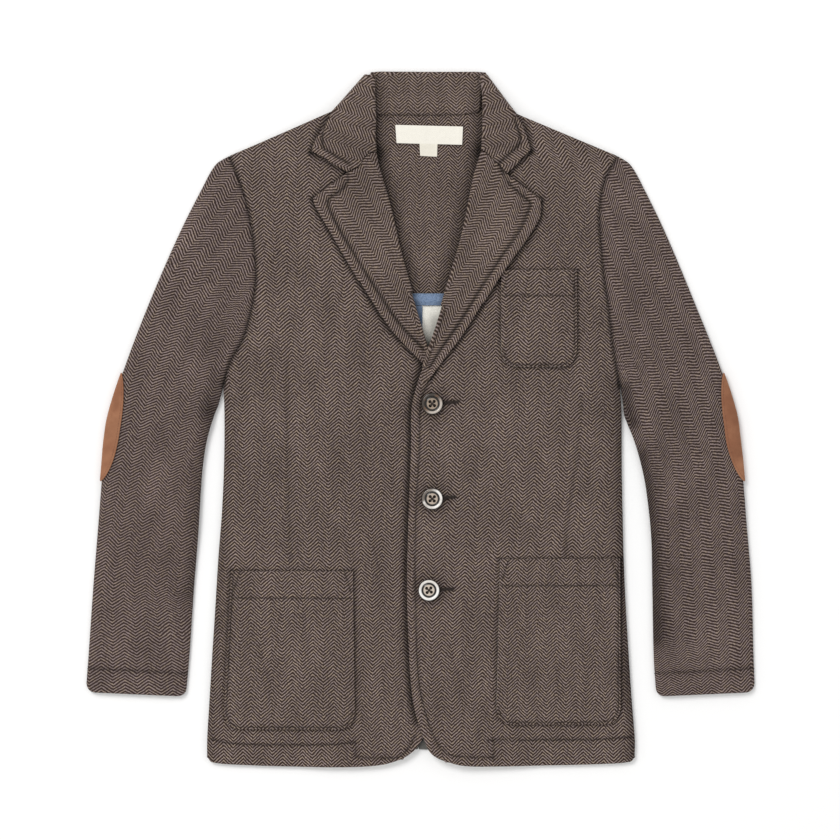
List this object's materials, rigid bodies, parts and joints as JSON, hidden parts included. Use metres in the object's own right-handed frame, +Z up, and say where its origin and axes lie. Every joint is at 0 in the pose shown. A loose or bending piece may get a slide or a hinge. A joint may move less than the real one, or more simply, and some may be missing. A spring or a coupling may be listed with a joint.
{
  "type": "fleece blazer",
  "caption": "Boy's single-breasted blazer in herringbone fleece, laid flat and buttoned, with notched lapels, patch pockets and suede elbow patches.",
  "frame": {"origin": "centre of the bounding box on the face it rests on", "axes": "+Z up, away from the surface it lies on; +Y from the hem to the collar; +X towards the wearer's left sleeve"},
  "size_m": [0.562, 0.5844, 0.0135],
  "materials": {
    "herringbone_fleece": "grey-brown herringbone fleece, matt with a short nap",
    "chambray": "light blue chambray",
    "cotton_label": "woven cream label, bare",
    "suede": "tan suede",
    "brown_horn": "imitation horn, brown with a pale tan centre",
    "silver_horn": "imitation horn, silver grey"
  },
  "bodies": {
    "root": {"back_right": "herringbone_fleece", "back_left": "herringbone_fleece", "neck_facing": "herringbone_fleece", "facing_binding": "chambray", "centre_back_tape": "chambray", "neck_label": "cotton_label", "size_tab": "cotton_label", "front_right": "herringbone_fleece", "front_left": "herringbone_fleece", "lapel_right": "herringbone_fleece", "lapel_left": "herringbone_fleece", "chest_pocket": "herringbone_fleece", "lower_pocket_right": "herringbone_fleece", "lower_pocket_left": "herringbone_fleece", "sleeve_right": "herringbone_fleece", "sleeve_left": "herringbone_fleece", "elbow_patch_right": "suede", "elbow_patch_left": "suede", "collar": "herringbone_fleece", "button_top": "brown_horn", "button_middle": "silver_horn", "button_bottom": "silver_horn"}
  },
  "joints": []
}
